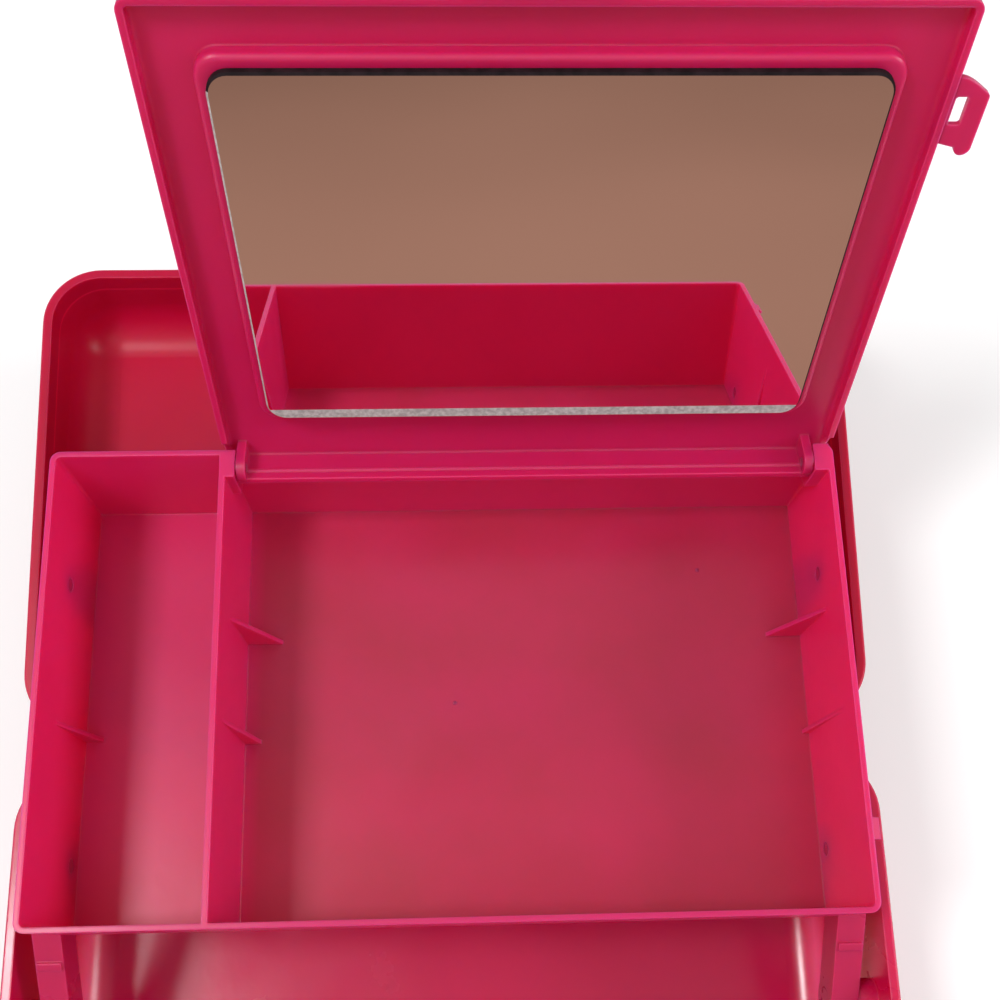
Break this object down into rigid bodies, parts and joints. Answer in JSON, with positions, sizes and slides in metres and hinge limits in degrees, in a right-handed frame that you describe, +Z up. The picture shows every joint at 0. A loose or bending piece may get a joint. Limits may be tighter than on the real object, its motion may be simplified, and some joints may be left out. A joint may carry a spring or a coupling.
{
  "type": "makeup storage case",
  "caption": "Hinged case with carry handle; a divided tray with its own mirror lid swings out on a parallel linkage as the lid opens.",
  "frame": {"origin": "centre of the base's flat underside, on the surface that the open case stands on", "axes": "+X along the hinge line to the right, +Y from the front latches to the hinge, +Z up"},
  "size_m": [0.257, 0.3216, 0.2267],
  "materials": {
    "base_tub": "glossy translucent magenta",
    "lid_shell": "glossy translucent magenta",
    "tray": "glossy translucent magenta",
    "mirror_lid": "glossy translucent magenta",
    "carry_handle": "glossy magenta",
    "pink_parts": "glossy magenta",
    "pin_steel": "drawn steel",
    "mirror": "silvered glass with a ground edge",
    "tape": "foam tape"
  },
  "bodies": {
    "base": {"base_tub": "base_tub", "case_hinge_pins": "pin_steel", "arm_base_pins": "pink_parts", "latch_pins": "pin_steel"},
    "lid": {"lid_shell": "lid_shell", "carry_handle": "carry_handle", "handle_screws": "pin_steel", "ear_left": "pink_parts", "ear_right": "pink_parts", "ear_rivets": "pink_parts"},
    "arm_left": {"arm_left": "pink_parts"},
    "arm_right": {"arm_right": "pink_parts"},
    "tray": {"tray": "tray", "arm_tray_pins": "pink_parts", "ear_tray_pins": "pink_parts"},
    "mirror_lid": {"mirror_lid": "mirror_lid", "mirror_hinge_pins": "pin_steel", "mirror_glass": "mirror", "mirror_tape": "tape"},
    "clasp": {"mirror_lid_clasp": "pink_parts"},
    "latch_left": {"latch_left": "pink_parts"},
    "latch_right": {"latch_right": "pink_parts"}
  },
  "joints": [
    {"name": "lid_hinge", "type": "hinge", "parent": "base", "child": "lid", "pos_m": [0, 0.0805, 0.0622], "axis": [1, 0, 0], "range_deg": [0, 175.5]},
    {"name": "arm_left_swing", "type": "hinge", "parent": "base", "child": "arm_left", "pos_m": [0, 0.00239, 0.04597], "axis": [1, 0, 0], "range_deg": [0, 175.5]},
    {"name": "arm_right_swing", "type": "hinge", "parent": "base", "child": "arm_right", "pos_m": [0, 0.00239, 0.04597], "axis": [1, 0, 0], "range_deg": [0, 175.5]},
    {"name": "tray_swing", "type": "hinge", "parent": "lid", "child": "tray", "pos_m": [0, 0.12311, 0.08883], "axis": [1, 0, 0], "range_deg": [-175.5, 0]},
    {"name": "mirror_lid_hinge", "type": "hinge", "parent": "tray", "child": "mirror_lid", "pos_m": [0, 0.1519, 0.104], "axis": [1, 0, 0], "range_deg": [0, 108.4]},
    {"name": "clasp_fold", "type": "hinge", "parent": "mirror_lid", "child": "clasp", "pos_m": [0.1106, 0.15598, 0.10264], "axis": [0, -0.3156, -0.9489], "range_deg": [0, 90]},
    {"name": "latch_left_flip", "type": "hinge", "parent": "base", "child": "latch_left", "pos_m": [0, -0.079, 0.05], "axis": [-1, 0, 0], "range_deg": [0, 180]},
    {"name": "latch_right_flip", "type": "hinge", "parent": "base", "child": "latch_right", "pos_m": [0, -0.079, 0.05], "axis": [-1, 0, 0], "range_deg": [0, 180]}
  ],
  "couplings": [
    {"joint": "arm_left_swing", "follows": "lid_hinge", "ratio": 1},
    {"joint": "arm_right_swing", "follows": "lid_hinge", "ratio": 1},
    {"joint": "tray_swing", "follows": "lid_hinge", "ratio": -1},
    {"joint": "mirror_lid_hinge", "follows": "lid_hinge", "ratio": 0.61766}
  ]
}
